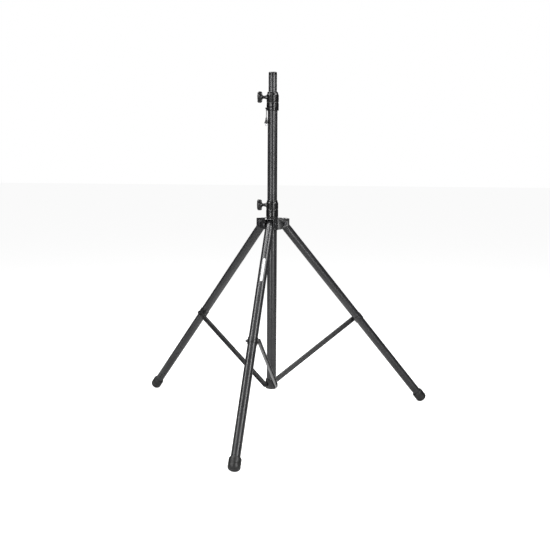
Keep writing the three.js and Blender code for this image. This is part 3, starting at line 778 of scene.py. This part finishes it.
def make_lock_pin():
    """The pin's grip and steel tip, and the cord that they hang on from the upper collar."""
    hang = Matrix.Translation(outward(LANYARD_AZIMUTH, LANYARD_R, 0))
    grip_profile = fillet([
        (0, GRIP_BASE), (7, GRIP_BASE), (8.4, GRIP_BASE + 1.4), (8.4, GRIP_BASE + 3), (6.2, GRIP_BASE + 8),
        (4.2, GRIP_BASE + 15), (3.1, GRIP_TOP - 3), (2.3, GRIP_TOP), (0, GRIP_TOP),
    ], 1.2)
    grip = shown(turned("grip", grip_profile, hang, 64), "lock_pin_grip")
    tip_profile = fillet([
        (0, TIP_BASE), (PIN_R - 1, TIP_BASE), (PIN_R, TIP_BASE + 1.4), (PIN_R, GRIP_BASE - GAP),
        (0, GRIP_BASE - GAP),
    ], 0.5)
    tip = shown(turned("tip", tip_profile, hang, 48), "lock_pin_tip")

    route = [Vector(p) for p in (
        (0, 0, ANCHOR_Z - ANCHOR_POST_R - GAP), (0, -0.2, ANCHOR_Z - 8), (0.5, -0.6, ANCHOR_Z - 15),
        (0.5, -0.4, ANCHOR_Z - 22), (0.1, -0.1, ANCHOR_Z - 29), (0, 0, GRIP_TOP + GAP))]
    line = [STAND @ hang @ point for point in catmull(route, 4)]
    data = bpy.data.curves.new("lanyard", "CURVE")
    data.dimensions = "3D"
    data.bevel_depth, data.bevel_resolution, data.use_fill_caps = CORD_R / 1000, 6, True
    spline = data.splines.new("POLY")
    spline.points.add(len(line) - 1)
    for knot, point in zip(spline.points, line):
        knot.co = (*point, 1)
    cord = bpy.data.objects.new("lanyard", data)
    bpy.context.scene.collection.objects.link(cord)
    shown(cord, "lock_pin_lanyard")


def finish_plain_pieces():
    """Gives the CAD pieces that stay visible the finishes of their slots."""
    for node, piece in frame["nodes"].items():
        if not piece.hide_render:
            piece.data.materials.clear()
            piece.data.materials.append(MATERIALS[SLOT_OF[node]])


# ------------------------------------------------------------------ studio

# Strengths of light: the floor seen by the camera, and its glow on the object under and around the stand.
FLOOR_SEEN, GLOW_UNDER, GLOW_NEAR, GLOW_FAR = 0.95, 0.8, 0.10, 0.01
SURROUND = 0.01
FLOOR_SIZE = 40


def make_floor():
    """A plain pale floor that looks white. Its glow on the object fades out, as on a lit paper sweep."""
    mesh = bpy.data.meshes.new("floor")
    corners = [(x * FLOOR_SIZE, y * FLOOR_SIZE) for x, y in ((-1, -1), (1, -1), (1, 1), (-1, 1))]
    mesh.from_pydata([(x, y, FLOOR_Z) for x, y in corners], [], [(0, 1, 2, 3)])
    floor = bpy.data.objects.new("floor", mesh)
    bpy.context.scene.collection.objects.link(floor)
    material = bpy.data.materials.new("pale_floor")
    tree, shader = nodes_of(material)
    shader.inputs["Base Color"].default_value = (0.5, 0.5, 0.5, 1)
    shader.inputs["Roughness"].default_value = 0.95
    shader.inputs["Specular IOR Level"].default_value = 0.1
    shader.inputs["Emission Color"].default_value = (1, 1, 1, 1)
    place = tree.nodes.new("ShaderNodeTexCoord")
    distance = tree.nodes.new("ShaderNodeVectorMath")
    distance.operation = "LENGTH"
    tree.links.new(place.outputs["Object"], distance.inputs[0])
    under = ramp(tree, distance.outputs["Value"], GLOW_UNDER, 0.0, 0.25, 0.6)
    around = ramp(tree, distance.outputs["Value"], GLOW_NEAR, GLOW_FAR, 0.8, 3.5)
    glow = tree.nodes.new("ShaderNodeMath")
    glow.operation = "ADD"
    tree.links.new(under, glow.inputs[0])
    tree.links.new(around, glow.inputs[1])
    path = tree.nodes.new("ShaderNodeLightPath")
    seen = tree.nodes.new("ShaderNodeMix")
    tree.links.new(path.outputs["Is Camera Ray"], seen.inputs["Factor"])
    tree.links.new(glow.outputs[0], seen.inputs["A"])
    seen.inputs["B"].default_value = FLOOR_SEEN
    tree.links.new(seen.outputs["Result"], shader.inputs["Emission Strength"])
    mesh.materials.append(material)


def make_strip(name, place, aim, along, width, length, power):
    """A strip softbox facing aim, with its long side turned along a direction."""
    data = bpy.data.lights.new(name, "AREA")
    data.shape, data.size, data.size_y, data.energy = "RECTANGLE", width, length, power
    lamp = bpy.data.objects.new(name, data)
    bpy.context.scene.collection.objects.link(lamp)
    back = (Vector(place) - Vector(aim)).normalized()
    side = Vector(along).cross(back).normalized()
    turn = Matrix((side, back.cross(side), back)).transposed()
    lamp.matrix_world = Matrix.Translation(place) @ turn.to_4x4()


def make_lights():
    """Strips whose reflections draw the long highlights, and two panels for the faces that look up."""
    mast, upright_run = (0, 0, 0.6), (0, 0, 1)
    front_leg, leg_run = (0, -0.385, 0.3), (0, -sin(LEG_ANGLE), -cos(LEG_ANGLE))
    bracket, collars, level = (0, -0.07, 0.73), (0, -0.1, 0.7), (1, 0, 0)
    make_strip("left_strip", (-1.4, -2.88, 1.0), mast, upright_run, 0.55, 3.0, 60)
    make_strip("right_strip", (2.05, -2.45, 1.0), mast, upright_run, 0.55, 3.0, 60)
    make_strip("left_top_strip", (-1.76, -0.75, 2.7), front_leg, leg_run, 0.55, 3.2, 80)
    make_strip("back_panel", (-0.5, 2.8, 1.55), bracket, level, 0.7, 1.2, 12)
    make_strip("top_panel", (-0.35, -0.5, 3.2), collars, level, 0.7, 0.5, 22)
    make_strip("right_top_strip", (2.0, -0.55, 2.53), front_leg, leg_run, 0.55, 3.2, 80)


def make_world():
    """White to the camera, and dim to the object, as a studio with dark sides is."""
    world = bpy.data.worlds.new("studio")
    bpy.context.scene.world = world
    world.use_nodes = True
    tree = world.node_tree
    background = tree.nodes["Background"]
    path = tree.nodes.new("ShaderNodeLightPath")
    strength = ramp(tree, path.outputs["Is Camera Ray"], SURROUND, 1.0, 0, 1)
    background.inputs["Color"].default_value = (1, 1, 1, 1)
    tree.links.new(strength, background.inputs["Strength"])
    bpy.context.scene.view_settings.view_transform = "Standard"


make_camera()
make_lock_pin()
make_mast()
make_hub()
make_collars()
make_bracket()
make_knobs()
make_screws()
make_legs()
make_braces()
finish_plain_pieces()
make_floor()
make_world()
make_lights()
